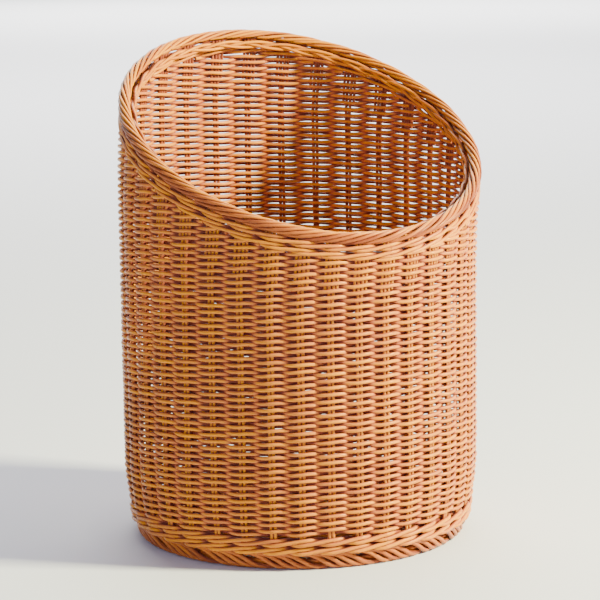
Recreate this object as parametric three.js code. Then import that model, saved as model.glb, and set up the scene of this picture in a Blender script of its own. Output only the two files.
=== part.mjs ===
// A round woven cane wastebasket with an oblique mouth, 400 mm tall at its high side.
//
// Units are millimetres and +Z is up. The origin is on the floor, at the centre of the foot.
// +Y points to the high side of the mouth, so -Y is the low side.
//
// The basket is built the way a basket maker builds one: spokes with weaving round them make the
// base, pairs of upright canes (the stakes) stand round its edge, courses of weaving pass in front of
// one pair and behind the next, rows of waling bind the foot and the mouth, and a rolled border
// finishes both. Each course stands for a stack of single canes woven the same way.
import * as THREE from "three";

// ---- driving dimensions -------------------------------------------------------------------------

const GAP = 0.3; // clearance between neighbouring pieces

const WALL_RADIUS = 139.1; // the circle that the stakes stand on
const FOOT_TAPER = 7.5; // how far the wall draws in towards the floor
const TAPER_TOP = 65; // height where the wall becomes a plain cylinder
const TAPER_POWER = 1.5;

const MOUTH_HEIGHT = 325; // middle of the mouth border, on the basket's axis
const MOUTH_SLOPE = 0.504; // rise of the mouth plane for each millimetre towards +Y

const STAKE_PAIRS = 34;
const STAKE_CROWDING = 0.14; // pairs stand this much closer at the low side, wider at the high side
const STAKE_RADIUS = 1.4;
const STAKE_HALF_SPACING = 1.8; // from the middle of a pair to the middle of each cane
const STAKE_BOTTOM = 10;

const WEAVE_THICKNESS = 2.6;
const WEAVE_OFFSET = STAKE_RADIUS + GAP + WEAVE_THICKNESS / 2; // weaving's middle, from the stakes
const WEAVE_HALF_PASS = 4.2; // half the length over which the weaving runs straight past a pair
const SHORTEST_END = 3; // a course stops where the mouth leaves it less height than this

const FOOT_WALE_LEVELS = [14, 20, 26];
const COURSE_BOTTOM = 26;
const COURSE_HEIGHT = 39;
const COURSE_COUNT = 9;

const BORDER_RADIUS = 5.4; // the rolled border's own section
const BORDER_OUTSET = 1; // its middle, outwards from the stakes
const MOUTH_WALE_HEIGHT = 5; // one row of waling, measured straight up
const PLAIT_RADIUS = 2.7;
const PLAIT_INSET = 7.4; // its middle, inwards from the stakes
const PLAIT_DROP = 5; // below the mouth plane, at right angles to it

const FOOT_BORDER_RADIUS = 129.5;
const FOOT_BORDER_HALF_WIDTH = 6;
const FOOT_BORDER_HEIGHT = 9.7;
const FOOT_FLAT_HALF_WIDTH = 3.4; // half the flat ring that stands on the floor

const SPOKES = 16;
const SPOKE_WIDTH = 4;
const SPOKE_THICKNESS = 3.6;
const SPOKE_HEIGHT = 17.5; // middle of the spokes, above the floor
const HUB_RADIUS = 28;
const BASE_RADIUS = 129;
const BASE_WEAVE_INNER = 30;
const BASE_WEAVE_THICKNESS = 1.6;
const BASE_WEAVE_COURSES = 4;
const BASE_HALF_PASS = 2.8;

const RING_SEGMENTS = 48; // round the plain rings
const CANE_SIDES = 6;

const FULL_TURN = 2 * Math.PI;
const LOW_SIDE = -Math.PI / 2; // direction of -Y
const HIGH_SIDE = Math.PI / 2; // direction of +Y

// ---- shape of the wall ----------------------------------------------------------------------------

// Radius of the circle of stakes at a height above the floor.
function wallRadius(z) {
  const depth = Math.max(0, TAPER_TOP - z) / TAPER_TOP;
  return WALL_RADIUS - FOOT_TAPER * depth ** TAPER_POWER;
}

// Height of the mouth plane over a point, moved up or down by offset at right angles to the plane.
const MOUTH_STRETCH = Math.hypot(1, MOUTH_SLOPE);
function mouthHeight(y, offset = 0) {
  return MOUTH_HEIGHT + MOUTH_SLOPE * y + offset * MOUTH_STRETCH;
}

// Direction of each pair of stakes, starting at the low side and going round anticlockwise.
function stakeAngle(index) {
  const even = LOW_SIDE + ((index + 0.5) * FULL_TURN) / STAKE_PAIRS;
  return even + STAKE_CROWDING * Math.sin(even - HIGH_SIDE);
}

// Just under the border, measured from the mouth plane at right angles to it.
const UNDER_BORDER = -BORDER_RADIUS - GAP;

function polar(radius, angle, z) {
  return new THREE.Vector3(radius * Math.cos(angle), radius * Math.sin(angle), z);
}

// ---- geometry helpers -----------------------------------------------------------------------------

// A closed skin through a row of sections, each an array of the same number of points that run
// clockwise as seen along the row. Sections that make a loop join end to end; otherwise the first and
// last section are closed with flat caps.
function skin(sections, isLoop) {
  const sides = sections[0].length;
  const positions = sections.flat().flatMap((point) => point.toArray());
  const triangles = [];
  const spans = isLoop ? sections.length : sections.length - 1;
  for (let row = 0; row < spans; row += 1) {
    const here = row * sides;
    const next = ((row + 1) % sections.length) * sides;
    for (let side = 0; side < sides; side += 1) {
      const other = (side + 1) % sides;
      triangles.push(here + side, next + side, next + other);
      triangles.push(here + side, next + other, here + other);
    }
  }
  if (!isLoop) {
    const last = (sections.length - 1) * sides;
    for (let side = 1; side < sides - 1; side += 1) {
      triangles.push(0, side, side + 1);
      triangles.push(last, last + side + 1, last + side);
    }
  }
  const geometry = new THREE.BufferGeometry();
  geometry.setAttribute("position", new THREE.Float32BufferAttribute(positions, 3));
  geometry.setIndex(triangles);
  geometry.computeVertexNormals();
  return geometry;
}

// A plain ring round +Z, from the outline of its section in (radius, height).
function ring(outline) {
  const closed = [...outline, outline[0]].map(([radius, z]) => new THREE.Vector2(radius, z));
  const geometry = new THREE.LatheGeometry(closed, RING_SEGMENTS);
  geometry.rotateX(Math.PI / 2);
  return geometry;
}

// The outline of a round section with flat sides.
function roundOutline(radius, z, size, sides, stretch = 1) {
  const outline = [];
  for (let corner = 0; corner < sides; corner += 1) {
    const turn = ((corner + 0.5) * FULL_TURN) / sides;
    outline.push([radius + size * Math.cos(turn), z + stretch * size * Math.sin(turn)]);
  }
  return outline;
}

// Lays a ring made about the origin's level onto the mouth plane.
function layOnMouth(geometry) {
  const shear = new THREE.Matrix4().makeShear(0, 0, 0, MOUTH_SLOPE, 0, 0);
  return geometry.applyMatrix4(shear).translate(0, 0, MOUTH_HEIGHT);
}

// ---- stakes ---------------------------------------------------------------------------------------

// One long cane bent double at the foot: its two legs are the pair of uprights. Their tops are cut
// along the mouth plane.
function stakePair(angle) {
  const bendCentre = STAKE_BOTTOM + STAKE_RADIUS + STAKE_HALF_SPACING;
  const legTop = mouthHeight(WALL_RADIUS * Math.sin(angle), UNDER_BORDER);
  const legLevels = [legTop, TAPER_TOP, COURSE_BOTTOM, bendCentre];
  const path = legLevels.map((z) => ({ across: -STAKE_HALF_SPACING, z, turn: 0 }));
  for (const turn of [Math.PI / 3, (2 * Math.PI) / 3]) {
    const across = -STAKE_HALF_SPACING * Math.cos(turn);
    path.push({ across, z: bendCentre - STAKE_HALF_SPACING * Math.sin(turn), turn });
  }
  for (const z of [...legLevels].reverse()) {
    path.push({ across: STAKE_HALF_SPACING, z, turn: Math.PI });
  }
  const outward = polar(1, angle, 0);
  const sideways = polar(1, angle + Math.PI / 2, 0);
  const sections = path.map(({ across, z, turn }) => {
    const centre = polar(wallRadius(z), angle, z).addScaledVector(sideways, across);
    const section = [];
    for (let corner = 0; corner < CANE_SIDES; corner += 1) {
      const round = ((corner + 0.5) * FULL_TURN) / CANE_SIDES;
      const along = -STAKE_RADIUS * Math.cos(round);
      const point = centre.clone();
      point.addScaledVector(outward, STAKE_RADIUS * Math.sin(round));
      point.addScaledVector(sideways, along * Math.cos(turn));
      point.z = z === legTop ? mouthHeight(point.y, UNDER_BORDER) : z + along * Math.sin(turn);
      section.push(point);
    }
    return section;
  });
  return skin(sections, false);
}

// ---- weaving round the stakes ---------------------------------------------------------------------

// A course passes outside the pairs whose number is even (or odd, by phase) and inside the others.
// lowEdge and highEdge give each edge's nominal level and its real height over a point.
function weaveCourse(phase, lowEdge, highEdge) {
  const sections = [];
  let isWhole = true;
  for (let index = 0; index < STAKE_PAIRS; index += 1) {
    const side = (index + phase) % 2 === 0 ? WEAVE_OFFSET : -WEAVE_OFFSET;
    for (const end of [-1, 1]) {
      const angle = stakeAngle(index) + (end * WEAVE_HALF_PASS) / WALL_RADIUS;
      const corner = (edge, inOut) => {
        const radius = wallRadius(edge.level) + side + (inOut * WEAVE_THICKNESS) / 2;
        return polar(radius, angle, edge.height(radius * Math.sin(angle)));
      };
      const section = [corner(lowEdge, -1), corner(lowEdge, 1), corner(highEdge, 1), corner(highEdge, -1)];
      const height = Math.min(section[3].z - section[0].z, section[2].z - section[1].z);
      if (height < SHORTEST_END) {
        isWhole = false;
      } else {
        sections.push(section);
      }
    }
  }
  return skin(sections, isWhole);
}

// An edge at one height all round, except that it never rises past the waling under the mouth.
function levelEdge(level) {
  const waleDepth = 2 * (MOUTH_WALE_HEIGHT + GAP) + GAP;
  return { level, height: (y) => Math.min(level, mouthHeight(y, UNDER_BORDER) - waleDepth) };
}

// An edge that follows the mouth, a given distance straight down from under the border.
function mouthEdge(drop) {
  return { level: MOUTH_HEIGHT, height: (y) => mouthHeight(y, UNDER_BORDER) - drop };
}

// ---- base -----------------------------------------------------------------------------------------

// The crossed sticks of the base, opened out into spokes round a hub.
function baseSpokes() {
  const outline = new THREE.Shape();
  const tipHalfAngle = Math.asin(SPOKE_WIDTH / 2 / BASE_RADIUS);
  const rootHalfAngle = Math.asin(SPOKE_WIDTH / 2 / HUB_RADIUS);
  for (let spoke = 0; spoke < SPOKES; spoke += 1) {
    const angle = (spoke * FULL_TURN) / SPOKES;
    const corners = [
      [HUB_RADIUS, angle - rootHalfAngle],
      [BASE_RADIUS, angle - tipHalfAngle],
      [BASE_RADIUS, angle + tipHalfAngle],
      [HUB_RADIUS, angle + rootHalfAngle],
    ];
    for (const [radius, turn] of corners) {
      const point = polar(radius, turn, 0);
      if (spoke === 0 && turn === corners[0][1]) {
        outline.moveTo(point.x, point.y);
      } else {
        outline.lineTo(point.x, point.y);
      }
    }
  }
  outline.closePath();
  const geometry = new THREE.ExtrudeGeometry(outline, { depth: SPOKE_THICKNESS, bevelEnabled: false });
  return geometry.translate(0, 0, SPOKE_HEIGHT - SPOKE_THICKNESS / 2);
}

// One flat ring of weaving that passes over one spoke and under the next.
function baseWeave(phase, inner, outer) {
  const reach = SPOKE_THICKNESS / 2 + GAP + BASE_WEAVE_THICKNESS / 2;
  const halfPass = BASE_HALF_PASS / inner;
  const sections = [];
  for (let spoke = 0; spoke < SPOKES; spoke += 1) {
    const side = (spoke + phase) % 2 === 0 ? reach : -reach;
    const low = SPOKE_HEIGHT + side - BASE_WEAVE_THICKNESS / 2;
    const high = low + BASE_WEAVE_THICKNESS;
    for (const end of [-1, 1]) {
      const angle = (spoke * FULL_TURN) / SPOKES + end * halfPass;
      sections.push([
        polar(inner, angle, low),
        polar(outer, angle, low),
        polar(outer, angle, high),
        polar(inner, angle, high),
      ]);
    }
  }
  return skin(sections, true);
}

// ---- borders --------------------------------------------------------------------------------------

function mouthBorder() {
  const radius = WALL_RADIUS + BORDER_OUTSET;
  return layOnMouth(ring(roundOutline(radius, 0, BORDER_RADIUS, 8, MOUTH_STRETCH)));
}

function mouthPlait() {
  const radius = WALL_RADIUS - PLAIT_INSET;
  const level = -PLAIT_DROP * MOUTH_STRETCH;
  return layOnMouth(ring(roundOutline(radius, level, PLAIT_RADIUS, 6, MOUTH_STRETCH)));
}

// The foot border is flat underneath, where it stands on the floor, and rounded everywhere else.
function footBorder() {
  const bevel = FOOT_BORDER_HALF_WIDTH - FOOT_FLAT_HALF_WIDTH;
  const halfWidths = [
    [FOOT_FLAT_HALF_WIDTH, 0],
    [FOOT_BORDER_HALF_WIDTH, bevel],
    [FOOT_BORDER_HALF_WIDTH, FOOT_BORDER_HEIGHT - bevel],
    [FOOT_FLAT_HALF_WIDTH, FOOT_BORDER_HEIGHT],
  ];
  const outer = halfWidths.map(([half, z]) => [FOOT_BORDER_RADIUS + half, z]);
  const inner = [...halfWidths].reverse().map(([half, z]) => [FOOT_BORDER_RADIUS - half, z]);
  return ring([...outer, ...inner]);
}

// ---- assembly -------------------------------------------------------------------------------------

const basket = new THREE.Group();

function addPiece(name, geometry, colour, roughness) {
  const material = new THREE.MeshStandardMaterial({ color: colour, roughness, metalness: 0 });
  const mesh = new THREE.Mesh(geometry, material);
  mesh.name = name;
  basket.add(mesh);
}

const STAKE_COLOUR = "#b9773f";
const WEAVE_COLOUR = "#d2945c";
const WALE_COLOUR = "#cb8b52";
const BORDER_COLOUR = "#c98850";
const BASE_COLOUR = "#bf7f48";
const CANE_ROUGHNESS = 0.45;

for (let index = 0; index < STAKE_PAIRS; index += 1) {
  const number = String(index + 1).padStart(2, "0");
  addPiece(`stake_pair_${number}`, stakePair(stakeAngle(index)), STAKE_COLOUR, CANE_ROUGHNESS);
}

for (let row = 0; row < FOOT_WALE_LEVELS.length - 1; row += 1) {
  const low = levelEdge(FOOT_WALE_LEVELS[row] + GAP / 2);
  const high = levelEdge(FOOT_WALE_LEVELS[row + 1] - GAP / 2);
  addPiece(`foot_wale_${row + 1}`, weaveCourse(row, low, high), WALE_COLOUR, CANE_ROUGHNESS);
}

for (let course = 0; course < COURSE_COUNT; course += 1) {
  const bottom = COURSE_BOTTOM + course * COURSE_HEIGHT;
  const low = levelEdge(bottom + GAP / 2);
  const high = levelEdge(bottom + COURSE_HEIGHT - GAP / 2);
  addPiece(`weave_course_${course + 1}`, weaveCourse(course, low, high), WEAVE_COLOUR, CANE_ROUGHNESS);
}

for (let row = 0; row < 2; row += 1) {
  const top = GAP + row * (MOUTH_WALE_HEIGHT + GAP);
  const geometry = weaveCourse(row, mouthEdge(top + MOUTH_WALE_HEIGHT), mouthEdge(top));
  addPiece(row === 0 ? "mouth_wale_upper" : "mouth_wale_lower", geometry, WALE_COLOUR, CANE_ROUGHNESS);
}

addPiece("mouth_border", mouthBorder(), BORDER_COLOUR, CANE_ROUGHNESS);
addPiece("mouth_plait", mouthPlait(), BORDER_COLOUR, CANE_ROUGHNESS);
addPiece("foot_border", footBorder(), BORDER_COLOUR, CANE_ROUGHNESS);
addPiece("base_spokes", baseSpokes(), BASE_COLOUR, CANE_ROUGHNESS);

const baseCourseWidth = (BASE_RADIUS - BASE_WEAVE_INNER) / BASE_WEAVE_COURSES;
for (let course = 0; course < BASE_WEAVE_COURSES; course += 1) {
  const inner = BASE_WEAVE_INNER + course * baseCourseWidth;
  const geometry = baseWeave(course, inner, inner + baseCourseWidth - GAP);
  addPiece(`base_weave_${course + 1}`, geometry, BASE_COLOUR, CANE_ROUGHNESS);
}

export default basket;
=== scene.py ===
"""A round woven cane wastebasket with an oblique mouth, with every cane of it modelled.

The basket's lengths are in millimetres until a mesh is made, and the studio's are in metres. +Z is up
and +Y points to the high side of the mouth. Places round the wall are counted in stake pairs, called
columns, from the low side.
"""

import math

import bpy
import numpy as np
from mathutils import Matrix, Vector


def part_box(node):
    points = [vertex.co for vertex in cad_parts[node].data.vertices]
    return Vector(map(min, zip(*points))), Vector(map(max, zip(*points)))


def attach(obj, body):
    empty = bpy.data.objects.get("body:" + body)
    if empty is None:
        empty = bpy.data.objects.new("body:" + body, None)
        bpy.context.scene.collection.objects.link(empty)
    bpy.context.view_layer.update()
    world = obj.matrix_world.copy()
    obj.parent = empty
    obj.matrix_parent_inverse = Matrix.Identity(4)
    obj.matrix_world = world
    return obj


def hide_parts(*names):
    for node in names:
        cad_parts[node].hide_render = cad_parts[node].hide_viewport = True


MM = 0.001
FULL_TURN = 2 * math.pi
LOW_SIDE = -math.pi / 2
UP = np.array([0.0, 0.0, 1.0])

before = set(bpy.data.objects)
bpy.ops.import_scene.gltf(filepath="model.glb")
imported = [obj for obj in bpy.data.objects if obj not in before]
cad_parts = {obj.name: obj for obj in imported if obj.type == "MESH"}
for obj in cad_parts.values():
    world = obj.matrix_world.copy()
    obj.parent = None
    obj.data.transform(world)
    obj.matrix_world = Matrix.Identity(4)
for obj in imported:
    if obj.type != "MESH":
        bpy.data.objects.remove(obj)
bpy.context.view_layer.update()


def box_in_mm(node):
    low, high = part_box(node)
    return low / MM, high / MM


def nodes_named(beginning):
    return sorted(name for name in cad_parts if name.startswith(beginning))


# ---- driving dimensions ----------------------------------------------------------------------------

border_low, border_high = box_in_mm("mouth_border")
_, foot_high = box_in_mm("foot_border")
spokes_low, spokes_high = box_in_mm("base_spokes")
foot_wale_low, _ = box_in_mm("foot_wale_1")
course_low, _ = box_in_mm("weave_course_1")

BORDER_OUTSET = -0.2  # the rolled border's middle, outwards from the stakes
BORDER_RADIUS = 5.4
WALL_RADIUS = border_high.x - BORDER_RADIUS - BORDER_OUTSET
FOOT_TAPER = 7.5  # how far the wall draws in towards the floor
TAPER_TOP = 65.0
TAPER_POWER = 1.5
MOUTH_HEIGHT = (border_low.z + border_high.z) / 2
MOUTH_SLOPE = 0.504  # its rise for each millimetre towards the high side
MOUTH_SHIFT = np.array([2.75, -1.2, 0.0])  # the mouth sits a little off the wall's axis
MOUTH_SHIFT_DEPTH = 60.0  # below the mouth, where the wall begins to follow it

WALE_RADIUS = 1.45
WALE_SWING = 2.9  # from the stakes' circle to the middle of the cane as it passes them
WALE_LEAN = 0.25  # above 0 the cane spends more of its way outside the stakes than inside
FOOT_WALE_RADIUS = 1.7
FOOT_WALE_BOTTOM = foot_wale_low.z - 1.9  # its rows are higher than the frame's, so they begin lower
MOUTH_WALE_TOP = 4.5  # below the mouth plane, square to it
WALE_ROW = 4  # the height of a row of waling, in radii of its cane: two canes

COLUMNS = 34
CROWDING = 0.14  # the pairs stand closer at the low side and wider at the high side
STAKE_RADIUS = 1.45
STAKE_HALF_SPACING = 1.5
STAKE_BOTTOM = FOOT_WALE_BOTTOM - 1
STAKE_TOP_DROP = 3.5  # the stakes end inside the rolled border, this far below its middle
STAKE_STEPS = 56
# painted light on the stakes' outer side, painted shade on their inner side
STAKE_CROWN = 0.25
STAKE_TONES = (0.2, 0.8)
FOOT_GATHER = 11.0  # the height over which the stakes lean to their places in the foot border
BYE_STAKE_RADIUS = 1.3
BYE_STAKE_SPACING = 3.0  # from a stake to the short cane beside it
BYE_STAKE_LENGTH = 32.0
BYE_STAKE_EXTRA = 8.0  # the most that one is longer
BYE_STAKE_STEPS = 12

WEAVER_RADIUS = 1.52
WEAVER_FLATNESS = 0.87  # its thickness over its height
WEAVER_SWING = 2.9  # from the stakes' circle to the middle of the cane as it passes them
WEAVER_FULLNESS = 0.1  # how much fuller its passes are than a cosine
ROW_PITCH = 2.63
STARTS = 4  # weavers that wind up the wall together
ROW_CLIMB = STARTS * ROW_PITCH / COLUMNS  # in each column
OUTSIDE_LIFT = 0.27  # passes outside the stakes sit this much higher, inside ones lower
PASS_TILT = 0.3  # how much each pass rises from the stakes to its end
WEAVE_BOTTOM = course_low.z + 1.4  # the middle of the lowest row
WEAVE_TOP = MOUTH_WALE_TOP + WALE_ROW * WALE_RADIUS + 4.5  # below the mouth plane, square to it
SHORTEST_ROW = 2  # columns
COURSE_HEIGHT = 39.0

ROLL_CANE_RADIUS = 1.35
ROLL_RADIUS = 3.7  # from the border's middle to the middle of its canes
ROLL_CANES_IN_COLUMN = 2
ROLL_START = -0.4  # columns from its stake
ROLL_START_JITTER = 0.06
ROLL_REACH = 3.7  # columns that each cane spans as it goes over
ROLL_FIRST_TURN = -112  # degrees round the border, from straight out
ROLL_SWEEP = 335  # degrees that each cane goes round
ROLL_TURN_JITTER = 7
ROLL_DEPTH_JITTER = (-0.35, 0.3)
ROLL_STEPS = 34
ROLL_TUCK_SHARE = 0.1  # the part of a cane, at each end, that dives into the roll
ROLL_START_TUCK = 1.9
ROLL_END_TUCK = 1.6
ROLL_TOP_TURN = 1.6  # radians, where the roll faces up
# painted light from above on the roll: its canes are darker low down and lighter where they face up
ROLL_LOW_CROWN = -0.2
ROLL_TOP_CROWN = 0.3
ROLL_TONES = (0, 1)

PLAIT_CANE_RADIUS = 1.45
PLAIT_INSET = 7.5  # inwards from the stakes
PLAIT_DROP = 4.0  # below the mouth plane, square to it
PLAIT_HALF_HEIGHT = 2.4
PLAIT_HALF_DEPTH = 0.9
PLAIT_PERIOD = 3.0  # columns

FOOT_CANE_RADIUS = 2.0
FOOT_ROPE_RADIUS = 2.9  # from the foot border's middle to the middle of its canes
FOOT_RADIUS = foot_high.x - 6.0
FOOT_MIDDLE = FOOT_ROPE_RADIUS + FOOT_CANE_RADIUS
FOOT_CANE_TOP = FOOT_WALE_BOTTOM + 1
FOOT_REACH = 2.6  # columns from a cane's own pair to its end
FOOT_FIRST_TURN = 65  # degrees round the foot border, from straight out
FOOT_SWEEP = -310
FOOT_SWEEP_POWER = 1.15
FOOT_LEAD_SHARE = 0.42  # the part of a cane that comes down from the wall
FOOT_TUCK_SHARE = 0.15
FOOT_END_TUCK = 1.4
FOOT_STEPS = 30
FOOT_TONES = (0, 0.7)

SPOKES = 16
SPOKE_RADIUS = 1.5
SPOKE_HALF_SPACING = 1.6
SPOKE_LEVELLING = 12.0  # the length over which crossed sticks come to one level
SPOKE_STEPS = 60
SPOKE_TONES = (0.1, 0.6)
BASE_CANE_RADIUS = 1.3
BASE_CANE_STEPS = 12  # in each spoke's share
BASE_SWING = SPOKE_RADIUS + BASE_CANE_RADIUS
BASE_PITCH = 2.75
BASE_Z = (spokes_low.z + spokes_high.z) / 2
BASE_INNER = 30.0
BASE_OUTER = spokes_high.x
BASE_TONE = 0.4

SIDES = 8  # of each cane
RING = np.arange(SIDES) * FULL_TURN / SIDES
COLUMN_STEPS = 10  # rings of points that a weaver has in each column
ONCE_ROUND = np.linspace(0, COLUMNS, COLUMNS * COLUMN_STEPS + 1)  # columns

PAINTED_HIDDEN_LIGHT = 0.6  # painted lightness, on both faces, of a cane that shows on neither side
PAINTED_CROWN_CONTRAST = 1.8  # how much painted light a crown adds on its own side, and takes from the other as painted shade
GRAIN_LENGTH = 4000.0  # a cane's grain starts anywhere along this
MIDDLE_TONE = 0.5  # of the dark and light that a cane can be, from 0 to 1

rng = np.random.default_rng(11)


# ---- curves ----------------------------------------------------------------------------------------


def smooth_step(x):
    x = np.clip(x, 0, 1)
    return x * x * (3 - 2 * x)


def at_start(part, share):
    """1 where the cane starts, falling to 0 after that share of it."""
    return smooth_step(1 - part / share)


def at_end(part, share):
    """0 along most of the cane, rising to 1 over the last share of it."""
    return smooth_step(1 - (1 - part) / share)


def jitter(size):
    return rng.uniform(-size, size)


class Wander:
    """A smooth random curve of about the size asked for. It repeats after the period, if it has one."""

    def __init__(self, size, shortest=1.5, longest=14.0, waves=5, period=None):
        lengths = np.geomspace(shortest, longest, waves) * rng.uniform(0.85, 1.15, waves)
        if period:
            lengths = period / np.maximum(1, np.round(period / lengths))
        self.rates = FULL_TURN / lengths
        self.phases = rng.uniform(0, FULL_TURN, waves)
        self.size = size * math.sqrt(2 / waves)

    def __call__(self, x):
        waves = np.sin(np.multiply.outer(x, self.rates) + self.phases)
        return self.size * waves.sum(axis=-1)


# ---- shape of the wall -----------------------------------------------------------------------------


def wall_radius(z):
    depth = np.clip(TAPER_TOP - z, 0, None) / TAPER_TOP
    return WALL_RADIUS - FOOT_TAPER * depth**TAPER_POWER


def angle_at(column):
    even = LOW_SIDE + (column + 0.5) * FULL_TURN / COLUMNS
    return even - CROWDING * np.cos(even)


def mouth_stretch(angle):
    """How much longer a drop straight down the wall is than one square to the sloping mouth."""
    return np.hypot(1, MOUTH_SLOPE * np.cos(angle))


def mouth_height(radius, angle, drop=0.0):
    return MOUTH_HEIGHT + MOUTH_SLOPE * radius * np.sin(angle) - drop * mouth_stretch(angle)


def shift_with_mouth(path):
    angle = np.arctan2(path[:, 1], path[:, 0])
    depth = mouth_height(WALL_RADIUS, angle) - path[:, 2]
    return path + smooth_step(1 - depth / MOUTH_SHIFT_DEPTH)[:, None] * MOUTH_SHIFT


def outward(angle):
    return np.stack([np.cos(angle), np.sin(angle), np.zeros_like(angle)], axis=-1)


def round_points(radius, angle, z):
    return np.stack([radius * np.cos(angle), radius * np.sin(angle), z + 0 * angle], axis=-1)


# ---- canes -----------------------------------------------------------------------------------------


def tube(path, radius, facing, flatness):
    """A ring of points round each point of the path. The first point of a ring is on the facing side."""
    tangent = np.gradient(path, axis=0)
    tangent /= np.linalg.norm(tangent, axis=1, keepdims=True)
    first = facing - (facing * tangent).sum(axis=1, keepdims=True) * tangent
    first /= np.linalg.norm(first, axis=1, keepdims=True)
    second = np.cross(tangent, first)
    ring = first[:, None] * (flatness * np.cos(RING))[:, None] + second[:, None] * np.sin(RING)[:, None]
    return path[:, None] + radius * ring


def grain_places(path, radius, start):
    """Where each point would be in a straight cane, for the grain to follow."""
    steps = np.linalg.norm(np.diff(path, axis=0), axis=1)
    along = start + np.concatenate([[0.0], np.cumsum(steps)])
    grain = np.empty((len(path), SIDES, 3))
    grain[..., 0] = radius * np.cos(RING)
    grain[..., 1] = radius * np.sin(RING)
    grain[..., 2] = along[:, None]
    return grain


def painted_shading_round(crown, rings):
    """Painted light and shade at each point: lighter on the facing side or the one behind it, as the crown
    says, and painted shade on the sides that turn towards the neighbouring canes.
    """
    crown = np.broadcast_to(crown, rings)[:, None]
    near_side = np.clip(PAINTED_HIDDEN_LIGHT + PAINTED_CROWN_CONTRAST * crown, 0, 1) * np.clip(np.cos(RING), 0, 1)
    far_side = np.clip(PAINTED_HIDDEN_LIGHT - PAINTED_CROWN_CONTRAST * crown, 0, 1) * np.clip(-np.cos(RING), 0, 1)
    return near_side + far_side


class Canes:
    """Canes that are gathered into one mesh. Each is a closed round tube along its own path."""

    def __init__(self):
        self.points, self.tones, self.wears, self.grains = [], [], [], []
        self.corners, self.sizes = [], []
        self.count = 0

    def add(self, path, radius, facing, tone, crown, start=None, flatness=1.0):
        """facing is a direction at each point of the path that the path never runs along. crown is 1
        where the cane is painted light on that side, -1 where on the other side and 0 where it is hidden
        and painted in shade. start is where along the cane its grain begins."""
        path = shift_with_mouth(path)
        rings = len(path)
        if start is None:
            start = rng.uniform(0, GRAIN_LENGTH)
        self.points.append(tube(path, radius, facing, flatness).reshape(-1, 3))
        self.grains.append(grain_places(path, radius, start).reshape(-1, 3))
        self.tones.append(np.repeat(np.broadcast_to(tone, rings), SIDES))
        self.wears.append(painted_shading_round(crown, rings).ravel())
        self.add_faces(rings)

    def add_faces(self, rings):
        corner = self.count + np.arange(rings * SIDES).reshape(rings, SIDES)
        here, ahead = corner[:-1], corner[1:]
        quads = np.stack([here, np.roll(here, -1, 1), np.roll(ahead, -1, 1), ahead], axis=-1)
        self.corners += [quads.ravel(), corner[0, ::-1], corner[-1]]
        self.sizes += [np.full((rings - 1) * SIDES, 4), np.full(2, SIDES)]
        self.count += rings * SIDES

    def mesh(self, name):
        mesh = bpy.data.meshes.new(name)
        points = np.concatenate(self.points) * MM
        mesh.vertices.add(len(points))
        mesh.vertices.foreach_set("co", points.ravel())
        corners = np.concatenate(self.corners)
        mesh.loops.add(len(corners))
        mesh.loops.foreach_set("vertex_index", corners)
        sizes = np.concatenate(self.sizes)
        mesh.polygons.add(len(sizes))
        mesh.polygons.foreach_set("loop_start", np.cumsum(sizes) - sizes)
        mesh.polygons.foreach_set("use_smooth", sizes == 4)
        mesh.update(calc_edges=True)
        mesh.set_sharp_from_angle(angle=math.radians(60))
        return mesh

    def give_values(self, mesh):
        """The values at each point that the materials read."""
        tone = mesh.attributes.new("tone", "FLOAT", "POINT")
        tone.data.foreach_set("value", np.concatenate(self.tones))
        wear = mesh.attributes.new("wear", "FLOAT", "POINT")
        wear.data.foreach_set("value", np.concatenate(self.wears))
        grain = mesh.attributes.new("grain", "FLOAT_VECTOR", "POINT")
        grain.data.foreach_set("vector", (np.concatenate(self.grains) * MM).ravel())

    def build(self, name, material, slot, nodes):
        mesh = self.mesh(name)
        self.give_values(mesh)
        mesh.materials.append(material)
        piece = bpy.data.objects.new(name, mesh)
        bpy.context.scene.collection.objects.link(piece)
        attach(piece, "root")
        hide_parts(*nodes)


# ---- stakes ----------------------------------------------------------------------------------------

# Where the four canes of two neighbouring pairs leave the foot waling, in columns from the first pair.
FOOT_SPREAD = (0.0, 0.39, 0.78, 1.17)
STAKES_TOGETHER = len(FOOT_SPREAD)


def foot_place(cane):
    """The column where a stake, counted round the basket, turns into the foot border."""
    group, place = divmod(cane + 2, STAKES_TOGETHER)
    return 2 * group - 1 + FOOT_SPREAD[place]


def add_stake(canes, column, leg, top):
    """leg is 0 for the first stake of the pair and 1 for the second."""
    side = 2 * leg - 1
    z = np.linspace(STAKE_BOTTOM, top, STAKE_STEPS)
    lean = Wander(size=0.15, shortest=30, longest=200, waves=3)(z)
    straight = angle_at(column) + (side * STAKE_HALF_SPACING + lean) / WALL_RADIUS
    spread = smooth_step((FOOT_WALE_BOTTOM + FOOT_GATHER - z) / FOOT_GATHER)
    foot = angle_at(foot_place(2 * column + leg))
    angle = straight + spread * (foot - straight)
    path = round_points(wall_radius(z), angle, z)
    canes.add(path, STAKE_RADIUS, outward(angle), rng.uniform(*STAKE_TONES), STAKE_CROWN)


def add_bye_stake(canes, column, leg, top):
    side = 2 * leg - 1
    z = np.linspace(top - BYE_STAKE_LENGTH - rng.uniform(0, BYE_STAKE_EXTRA), top, BYE_STAKE_STEPS)
    angle = angle_at(column) + side * (STAKE_HALF_SPACING + BYE_STAKE_SPACING) / WALL_RADIUS + 0 * z
    path = round_points(wall_radius(z), angle, z)
    canes.add(path, BYE_STAKE_RADIUS, outward(angle), rng.uniform(*STAKE_TONES), STAKE_CROWN)


def stake_pair(column):
    canes = Canes()
    top = mouth_height(WALL_RADIUS, angle_at(column), STAKE_TOP_DROP)
    for leg in range(2):
        add_stake(canes, column, leg, top)
        add_bye_stake(canes, column, leg, top)
    return canes


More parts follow.
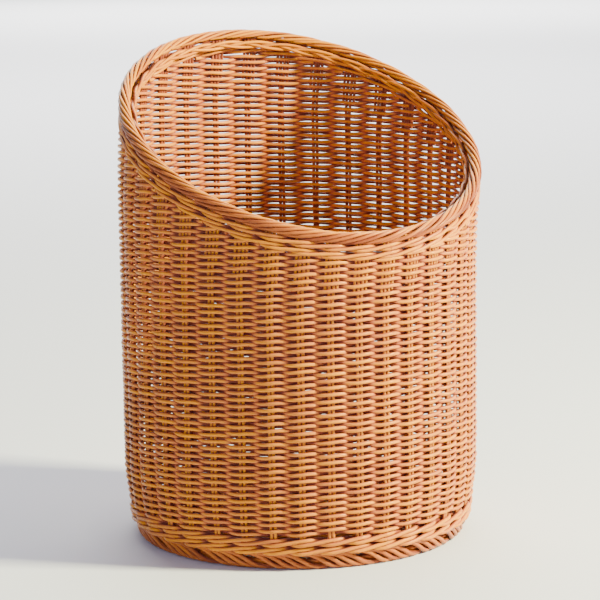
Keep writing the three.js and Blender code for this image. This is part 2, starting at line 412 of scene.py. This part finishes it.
# ---- weaving ---------------------------------------------------------------------------------------


def wave_past_stakes(column, row):
    """1 where the row passes outside a pair, -1 where it passes inside."""
    wave = np.cos(math.pi * (column + row))
    return wave * (1 + WEAVER_FULLNESS * (1 - wave**2))


def weave_rows():
    """Every row of plain weaving, as (row number, columns, heights), cut where the mouth waling begins."""
    last = int((border_high.z - WEAVE_BOTTOM) / ROW_PITCH)
    rows = []
    for row in range(-STARTS, last):
        seam = -1 if row % 2 == 0 else 0  # a column that the row passes inside
        column = seam + ONCE_ROUND
        z = WEAVE_BOTTOM + row * ROW_PITCH + ROW_CLIMB * column
        ceiling = mouth_height(WALL_RADIUS, angle_at(column), WEAVE_TOP)
        inside = (z >= WEAVE_BOTTOM - ROW_CLIMB) & (z <= ceiling)
        edges = np.flatnonzero(np.diff(np.concatenate([[0], inside, [0]])))
        for first, stop in edges.reshape(-1, 2):
            if stop - first > SHORTEST_ROW * COLUMN_STEPS:
                rows.append((row, column[first:stop], z[first:stop]))
    return rows


def weave_courses():
    """The rows of plain weaving, sorted into the frame's courses by their height."""
    names = nodes_named("weave_course")
    courses = [Canes() for _ in names]
    tones = [Wander(size=0.22, shortest=3, longest=60) for _ in range(STARTS)]
    lift = Wander(size=0.12, shortest=2, longest=17, period=COLUMNS)
    swing = [Wander(size=0.16, shortest=1.3, longest=9) for _ in range(STARTS)]
    sway = [Wander(size=0.14, shortest=1.3, longest=9) for _ in range(STARTS)]
    for row, column, z in weave_rows():
        start = row % STARTS
        travelled = (row // STARTS) * COLUMNS + column
        wave = wave_past_stakes(column, row)
        angle = angle_at(column)
        radius = wall_radius(z) + (WEAVER_SWING + swing[start](travelled)) * wave
        tilt = PASS_TILT * np.sin(FULL_TURN * column)
        height = z + OUTSIDE_LIFT * wave + tilt + sway[start](travelled) + lift(column)
        path = round_points(radius, angle, height)
        tone = MIDDLE_TONE + tones[start](travelled)
        course = int(np.clip((z.mean() - course_low.z) // COURSE_HEIGHT, 0, len(names) - 1))
        along = travelled[0] * FULL_TURN * WALL_RADIUS / COLUMNS
        # wave is also the crown: painted light on the side of each pass that shows, painted shade where the
        # row crosses between the pairs
        courses[course].add(path, WEAVER_RADIUS, outward(angle), tone, wave, along, WEAVER_FLATNESS)
    return zip(names, courses)


# ---- waling ----------------------------------------------------------------------------------------


def wale(height_at, thickness):
    """One row of three-rod waling: each cane passes outside two pairs, climbs, then goes inside one."""
    canes = Canes()
    for strand in range(3):
        travelled = strand * COLUMNS + ONCE_ROUND
        round_way = FULL_TURN * (travelled - 0.5) / 3
        shape = np.clip((np.cos(round_way) + WALE_LEAN) / (1 - WALE_LEAN), -1, 1)
        wave = np.sin(math.pi / 2 * shape)
        climb = 2 * thickness / math.sqrt(3) * np.sin(round_way)
        angle = angle_at(ONCE_ROUND)
        z = height_at(angle)
        radius = wall_radius(z) + (WALE_SWING + Wander(size=0.12)(ONCE_ROUND)) * wave
        path = round_points(radius, angle, z + climb + Wander(size=0.08)(ONCE_ROUND))
        tone = MIDDLE_TONE + Wander(size=0.2, shortest=3, longest=40)(ONCE_ROUND)
        # wave is also the crown: painted light on the side that shows, painted shade where the cane crosses
        # between the pairs
        canes.add(path, thickness, outward(angle), tone, wave)
    return canes


def foot_wale(row):
    middle = FOOT_WALE_BOTTOM + WALE_ROW * (row + 0.5) * FOOT_WALE_RADIUS
    return wale(lambda angle: middle + 0 * angle, FOOT_WALE_RADIUS)


def mouth_wale(row):
    drop = MOUTH_WALE_TOP + WALE_ROW * (row + 0.5) * WALE_RADIUS
    return wale(lambda angle: mouth_height(WALL_RADIUS, angle, drop), WALE_RADIUS)


# ---- borders ---------------------------------------------------------------------------------------


def mouth_frame(radius, angle):
    """The mouth's edge at a radius: its points, the outward way, and the way square to the edge, up."""
    centre = round_points(radius, angle, mouth_height(radius, angle))
    out = outward(angle)
    edge = np.stack([-np.sin(angle), np.cos(angle), MOUTH_SLOPE * np.cos(angle)], axis=-1)
    edge /= np.linalg.norm(edge, axis=1, keepdims=True)
    return centre, out, np.cross(out, edge)


def turned(out, up, turn):
    """The direction at an angle from straight out, towards up."""
    return out * np.cos(turn)[:, None] + up * np.sin(turn)[:, None]


def mouth_border():
    """Stakes bent over one after the other: up the outside, over the top and down inside."""
    canes = Canes()
    part = np.linspace(0, 1, ROLL_STEPS)
    tuck = ROLL_START_TUCK * at_start(part, ROLL_TUCK_SHARE)
    tuck = tuck + ROLL_END_TUCK * at_end(part, ROLL_TUCK_SHARE)
    for cane in range(ROLL_CANES_IN_COLUMN * COLUMNS):
        begin = cane / ROLL_CANES_IN_COLUMN + ROLL_START + jitter(ROLL_START_JITTER)
        turn = np.radians(ROLL_FIRST_TURN + ROLL_SWEEP * part + jitter(ROLL_TURN_JITTER))
        depth = ROLL_RADIUS + rng.uniform(*ROLL_DEPTH_JITTER) - tuck
        angle = angle_at(begin + ROLL_REACH * part)
        centre, out, up = mouth_frame(WALL_RADIUS + BORDER_OUTSET, angle)
        facing = turned(out, up, turn)
        path = centre + facing * depth[:, None]
        # painted light from above: lighter where the roll faces up
        painted_top_light = smooth_step(turn / ROLL_TOP_TURN)
        crown = ROLL_LOW_CROWN + (ROLL_TOP_CROWN - ROLL_LOW_CROWN) * painted_top_light
        canes.add(path, ROLL_CANE_RADIUS, facing, rng.uniform(*ROLL_TONES), crown)
    return canes


def mouth_plait():
    """Three canes plaited along the inside, which hold down the ends of the border."""
    canes = Canes()
    angle = angle_at(ONCE_ROUND)
    centre, out, up = mouth_frame(WALL_RADIUS - PLAIT_INSET, angle)
    for strand in range(3):
        round_way = FULL_TURN * (strand * COLUMNS + ONCE_ROUND) / PLAIT_PERIOD
        rise = PLAIT_HALF_HEIGHT * np.sin(round_way) - PLAIT_DROP
        depth = PLAIT_HALF_DEPTH * np.sin(2 * round_way)
        path = centre + up * rise[:, None] + out * depth[:, None]
        tone = MIDDLE_TONE + Wander(size=0.2, shortest=3, longest=40)(ONCE_ROUND)
        # painted light on the plait's inner side, painted shade on the side against the stakes
        canes.add(path, PLAIT_CANE_RADIUS, out, tone, -1)
    return canes


def foot_border():
    """The stakes' lower ends, each turned down and round a ring, which leaves an opening at every
    second pair."""
    canes = Canes()
    part = np.linspace(0, 1, FOOT_STEPS)
    turn = np.radians(FOOT_FIRST_TURN + FOOT_SWEEP * part**FOOT_SWEEP_POWER)
    depth = FOOT_ROPE_RADIUS - FOOT_END_TUCK * at_end(part, FOOT_TUCK_SHARE)
    rope_radius = FOOT_RADIUS + depth * np.cos(turn)
    rope_z = FOOT_MIDDLE + depth * np.sin(turn)
    lead = at_start(part, FOOT_LEAD_SHARE)
    radius = rope_radius + lead * (wall_radius(FOOT_CANE_TOP) - rope_radius)
    z = rope_z + lead * (FOOT_CANE_TOP - rope_z)
    for cane in range(2 * COLUMNS):
        begin = foot_place(cane)
        end = cane / 2 + FOOT_REACH
        angle = angle_at(begin + (end - begin) * part)
        path = round_points(radius, angle, z)
        facing = turned(outward(angle), UP, turn)
        facing = outward(angle) * lead[:, None] + facing * (1 - lead[:, None])
        # crown 0: painted shade on the sides that turn towards the neighbouring canes
        canes.add(path, FOOT_CANE_RADIUS, facing, rng.uniform(*FOOT_TONES), 0)
    return canes


# ---- base ------------------------------------------------------------------------------------------


def base_spokes():
    """Sticks in pairs, crossed in two layers in the middle and level under the weaving."""
    canes = Canes()
    reach = np.linspace(-1, 1, SPOKE_STEPS) * BASE_OUTER
    crossing = smooth_step((BASE_INNER + SPOKE_LEVELLING - abs(reach)) / SPOKE_LEVELLING)
    for stick in range(SPOKES // 2):
        angle = stick * FULL_TURN / SPOKES
        way = np.array([math.cos(angle), math.sin(angle), 0])
        side_way = np.array([-math.sin(angle), math.cos(angle), 0])
        layer = -1 if stick % 2 else 1
        for side in (-1, 1):
            path = np.outer(reach, way) + side * SPOKE_HALF_SPACING * side_way
            path[:, 2] += BASE_Z + layer * SPOKE_RADIUS * crossing
            # painted light on the face that each layer shows, above or below, and painted shade between the
            # layers
            canes.add(path, SPOKE_RADIUS, UP, rng.uniform(*SPOKE_TONES), layer)
    return canes


def base_weave(inner, outer):
    canes = Canes()
    rows = int((outer - inner) / BASE_PITCH)
    spoke = np.linspace(0, SPOKES, SPOKES * BASE_CANE_STEPS + 1)
    for row in range(rows):
        radius = inner + (row + 0.5) * (outer - inner) / rows + Wander(size=0.12)(spoke)
        wave = np.cos(math.pi * (spoke + row))
        path = round_points(radius, spoke * FULL_TURN / SPOKES, BASE_Z + BASE_SWING * wave)
        tone = BASE_TONE + Wander(size=0.2, shortest=3, longest=20)(spoke)
        # painted light on the side of each pass that shows, painted shade where it crosses between the
        # spokes
        canes.add(path, BASE_CANE_RADIUS, UP, tone, wave)
    return canes


# ---- materials -------------------------------------------------------------------------------------

# The dark, middle and light colours of the canes in each part of the basket. The painted shade between
# canes pulls towards the dark end and the painted light on their crowns towards the light end.
STAKE_COLOURS = ((0.17, 0.036, 0.026), (0.44, 0.118, 0.048), (0.64, 0.23, 0.004))
WEAVE_COLOURS = ((0.18, 0.038, 0.027), (0.46, 0.126, 0.046), (0.66, 0.24, 0.002))
BORDER_COLOURS = ((0.16, 0.034, 0.022), (0.45, 0.127, 0.027), (0.68, 0.25, 0.003))
BASE_COLOURS = ((0.14, 0.028, 0.013), (0.36, 0.1, 0.02), (0.54, 0.18, 0.006))
FLOOR_COLOURS = ((0.63, 0.65, 0.74), (0.66, 0.68, 0.77))

GRAIN_STRETCH = (1, 1, 0.06)  # fibres run long along the cane
FIBRE_SCALE = 2200
PATCH_SCALE = 55
PATCH_SHARE = 0.4
FIBRE_SHARE = 0.22
# how much the painted light on crowns and painted shade between canes weigh in a cane's colour
PAINTED_SHADING_SHARE = 0.52
LACQUER_ROUGHNESS = (0.18, 0.38)
LACQUER_TINT = (1, 0.6, 0.2, 1)
FIBRE_DEPTH = 0.12 * MM


def new_material(name):
    material = bpy.data.materials.new(name)
    material.use_nodes = True
    return material, material.node_tree, material.node_tree.nodes["Principled BSDF"]


def attribute(tree, name, output):
    node = tree.nodes.new("ShaderNodeAttribute")
    node.attribute_name = name
    return node.outputs[output]


def noise(tree, scale, detail, place=None):
    node = tree.nodes.new("ShaderNodeTexNoise")
    node.inputs["Scale"].default_value = scale
    node.inputs["Detail"].default_value = detail
    if place:
        tree.links.new(place, node.inputs["Vector"])
    return node.outputs["Fac"]


def mix(tree, first, second, share):
    node = tree.nodes.new("ShaderNodeMix")
    node.inputs["Factor"].default_value = share
    tree.links.new(first, node.inputs["A"])
    tree.links.new(second, node.inputs["B"])
    return node.outputs["Result"]


def map_range(tree, value, low, high):
    node = tree.nodes.new("ShaderNodeMapRange")
    node.inputs["To Min"].default_value = low
    node.inputs["To Max"].default_value = high
    tree.links.new(value, node.inputs["Value"])
    return node


def cane_shade(tree, fibres, patches):
    """How light the cane is at each point: its own tone, patches and fibres, and the painted light on its
    crowns and painted shade between canes.
    """
    shade = mix(tree, attribute(tree, "tone", "Fac"), patches, PATCH_SHARE)
    shade = mix(tree, shade, fibres, FIBRE_SHARE)
    return mix(tree, shade, attribute(tree, "wear", "Fac"), PAINTED_SHADING_SHARE)


def cane_ramp(tree, shade, dark, middle, light):
    ramp = tree.nodes.new("ShaderNodeValToRGB")
    ramp.color_ramp.elements[0].position = 0.2
    ramp.color_ramp.elements[0].color = (*dark, 1)
    ramp.color_ramp.elements[1].position = 0.8
    ramp.color_ramp.elements[1].color = (*light, 1)
    ramp.color_ramp.elements.new(0.5).color = (*middle, 1)
    tree.links.new(shade, ramp.inputs["Fac"])
    return ramp.outputs["Color"]


def fibre_bump(tree, fibres):
    bump = tree.nodes.new("ShaderNodeBump")
    bump.inputs["Strength"].default_value = 0.35
    bump.inputs["Distance"].default_value = FIBRE_DEPTH
    tree.links.new(fibres, bump.inputs["Height"])
    return bump.outputs["Normal"]


def cane_material(name, colours):
    """Stained cane under satin lacquer: each cane has its own tone, with fine grain along it."""
    material, tree, shader = new_material(name)
    grain = attribute(tree, "grain", "Vector")
    stretch = tree.nodes.new("ShaderNodeVectorMath")
    stretch.operation = "MULTIPLY"
    stretch.inputs[1].default_value = GRAIN_STRETCH
    tree.links.new(grain, stretch.inputs[0])
    fibres = noise(tree, FIBRE_SCALE, detail=3, place=stretch.outputs[0])
    patches = noise(tree, PATCH_SCALE, detail=4, place=grain)
    roughness = map_range(tree, patches, *LACQUER_ROUGHNESS)
    colour = cane_ramp(tree, cane_shade(tree, fibres, patches), *colours)
    tree.links.new(colour, shader.inputs["Base Color"])
    tree.links.new(roughness.outputs["Result"], shader.inputs["Roughness"])
    tree.links.new(fibre_bump(tree, fibres), shader.inputs["Normal"])
    shader.inputs["Specular IOR Level"].default_value = 0.2
    shader.inputs["Specular Tint"].default_value = LACQUER_TINT
    return material


def floor_material():
    material, tree, shader = new_material("pale_floor")
    ramp = tree.nodes.new("ShaderNodeValToRGB")
    for element, colour in zip(ramp.color_ramp.elements, FLOOR_COLOURS):
        element.color = (*colour, 1)
    tree.links.new(noise(tree, scale=30, detail=2), ramp.inputs["Fac"])
    tree.links.new(ramp.outputs["Color"], shader.inputs["Base Color"])
    shader.inputs["Roughness"].default_value = 0.8
    return material


# ---- assembly --------------------------------------------------------------------------------------


def build_stakes(look):
    for column in range(COLUMNS):
        name = f"stake_pair_{column + 1:02d}"
        stake_pair(column).build(f"woven_{name}", look, "stakes", [name])


def build_weaving(look):
    for name, course in weave_courses():
        course.build(f"woven_{name}", look, "weaving", [name])
    for row, name in enumerate(("foot_wale_1", "foot_wale_2")):
        foot_wale(row).build(f"woven_{name}", look, "weaving", [name])
    for row, name in enumerate(("mouth_wale_upper", "mouth_wale_lower")):
        mouth_wale(row).build(f"woven_{name}", look, "weaving", [name])


def build_borders(look):
    mouth_border().build("woven_mouth_border", look, "borders", ["mouth_border"])
    mouth_plait().build("woven_mouth_plait", look, "borders", ["mouth_plait"])
    foot_border().build("woven_foot_border", look, "borders", ["foot_border"])


def build_base(look):
    base_spokes().build("woven_base_spokes", look, "base", ["base_spokes"])
    names = nodes_named("base_weave")
    width = (BASE_OUTER - BASE_INNER) / len(names)
    for band, name in enumerate(names):
        inner = BASE_INNER + band * width
        base_weave(inner, inner + width).build(f"woven_{name}", look, "base", [name])


def build_basket():
    build_stakes(cane_material("stake_cane", STAKE_COLOURS))
    build_weaving(cane_material("weave_cane", WEAVE_COLOURS))
    build_borders(cane_material("border_cane", BORDER_COLOURS))
    build_base(cane_material("base_cane", BASE_COLOURS))


# ---- studio, in metres -----------------------------------------------------------------------------

CAMERA_DISTANCE = 1.764  # from the basket's axis, level
CAMERA_HEIGHT = 0.477
CAMERA_SIDE = math.radians(-23.4)  # round the basket from its low side
CAMERA_PITCH = math.radians(9.33)
CAMERA_ASIDE = 0.0013  # to its own right
CAMERA_ROLL = math.radians(0.75)
CAMERA_LENS = 132.5
CAMERA_SENSOR = 36

FLOOR_HALF = 30.0
FLOOR_DROP = 0.0003  # so that the foot and the floor never share a plane

WORLD_COLOUR = (0.95, 0.96, 1, 1)
WORLD_STRENGTH = (0.45, 1.6)  # on the dark side and straight towards the bright side
BRIGHT_EDGE = 0.2  # the cosine to the bright side's middle at which the light begins to grow
BRIGHT_SIDE = (0.84, 0.5, 0.2)  # the way to the brightly lit side of the studio

KEY_COLOUR = (1, 0.965, 0.56)
FILL_COLOUR = (0.55, 0.55, 1)
BACKGROUND_COLOUR = (1, 0.97, 0.85)
BASKET_MIDDLE = (0, 0, 0.2)


def place_camera():
    camera = bpy.data.objects.new("camera", bpy.data.cameras.new("camera"))
    bpy.context.scene.collection.objects.link(camera)
    camera.data.lens = CAMERA_LENS
    camera.data.sensor_width = CAMERA_SENSOR
    across = Vector((math.sin(CAMERA_SIDE), -math.cos(CAMERA_SIDE), 0))
    right = Vector((math.cos(CAMERA_SIDE), math.sin(CAMERA_SIDE), 0))
    back = across * math.cos(CAMERA_PITCH) + Vector((0, 0, math.sin(CAMERA_PITCH)))
    up = back.cross(right)
    turn = Matrix((right, up, back)).transposed() @ Matrix.Rotation(-CAMERA_ROLL, 3, "Z")
    camera.matrix_world = turn.to_4x4()
    camera.location = across * CAMERA_DISTANCE + right * CAMERA_ASIDE + Vector((0, 0, CAMERA_HEIGHT))
    bpy.context.scene.camera = camera


def area_light(name, place, size, power, colour, target=BASKET_MIDDLE, spread=180):
    light = bpy.data.lights.new(name, "AREA")
    light.energy = power
    light.color = colour
    light.size = size
    light.spread = math.radians(spread)
    lamp = bpy.data.objects.new(name, light)
    bpy.context.scene.collection.objects.link(lamp)
    lamp.location = place
    lamp.visible_camera = False
    lamp.rotation_euler = (Vector(target) - Vector(place)).to_track_quat("-Z", "Y").to_euler()


def floor_light(name, place, size, power, spread=180):
    """A light that hangs over the floor behind the basket and shines straight down."""
    x, y, _ = place
    area_light(name, place, size, power, BACKGROUND_COLOUR, target=(x, y, 0), spread=spread)


def build_lights():
    area_light("key", place=(1.7, -1.33, 1.4), size=0.35, power=355, colour=KEY_COLOUR)
    area_light("fill", place=(-1.4, -1.7, 0.5), size=1.2, power=20, colour=FILL_COLOUR)
    floor_light("background", place=(1.9, 4.4, 2.6), size=5.0, power=550)
    floor_light("far_background", place=(5.2, 12.0, 6.0), size=9.0, power=1600, spread=90)


def build_floor():
    mesh = bpy.data.meshes.new("floor")
    sides = ((-1, -1), (1, -1), (1, 1), (-1, 1))
    corners = [(x * FLOOR_HALF, y * FLOOR_HALF, -FLOOR_DROP) for x, y in sides]
    mesh.from_pydata(corners, [], [(0, 1, 2, 3)])
    mesh.materials.append(floor_material())
    floor = bpy.data.objects.new("floor", mesh)
    bpy.context.scene.collection.objects.link(floor)


def build_world():
    """Even soft light that is stronger on one side of the studio."""
    world = bpy.data.worlds.new("studio")
    bpy.context.scene.world = world
    world.use_nodes = True
    tree = world.node_tree
    background = tree.nodes["Background"]
    background.inputs["Color"].default_value = WORLD_COLOUR
    direction = tree.nodes.new("ShaderNodeTexCoord")
    towards = tree.nodes.new("ShaderNodeVectorMath")
    towards.operation = "DOT_PRODUCT"
    towards.inputs[1].default_value = BRIGHT_SIDE
    tree.links.new(direction.outputs["Generated"], towards.inputs[0])
    strength = map_range(tree, towards.outputs["Value"], *WORLD_STRENGTH)
    strength.interpolation_type = "SMOOTHSTEP"
    strength.inputs["From Min"].default_value = BRIGHT_EDGE
    tree.links.new(strength.outputs["Result"], background.inputs["Strength"])


build_basket()
build_floor()
build_world()
build_lights()
place_camera()
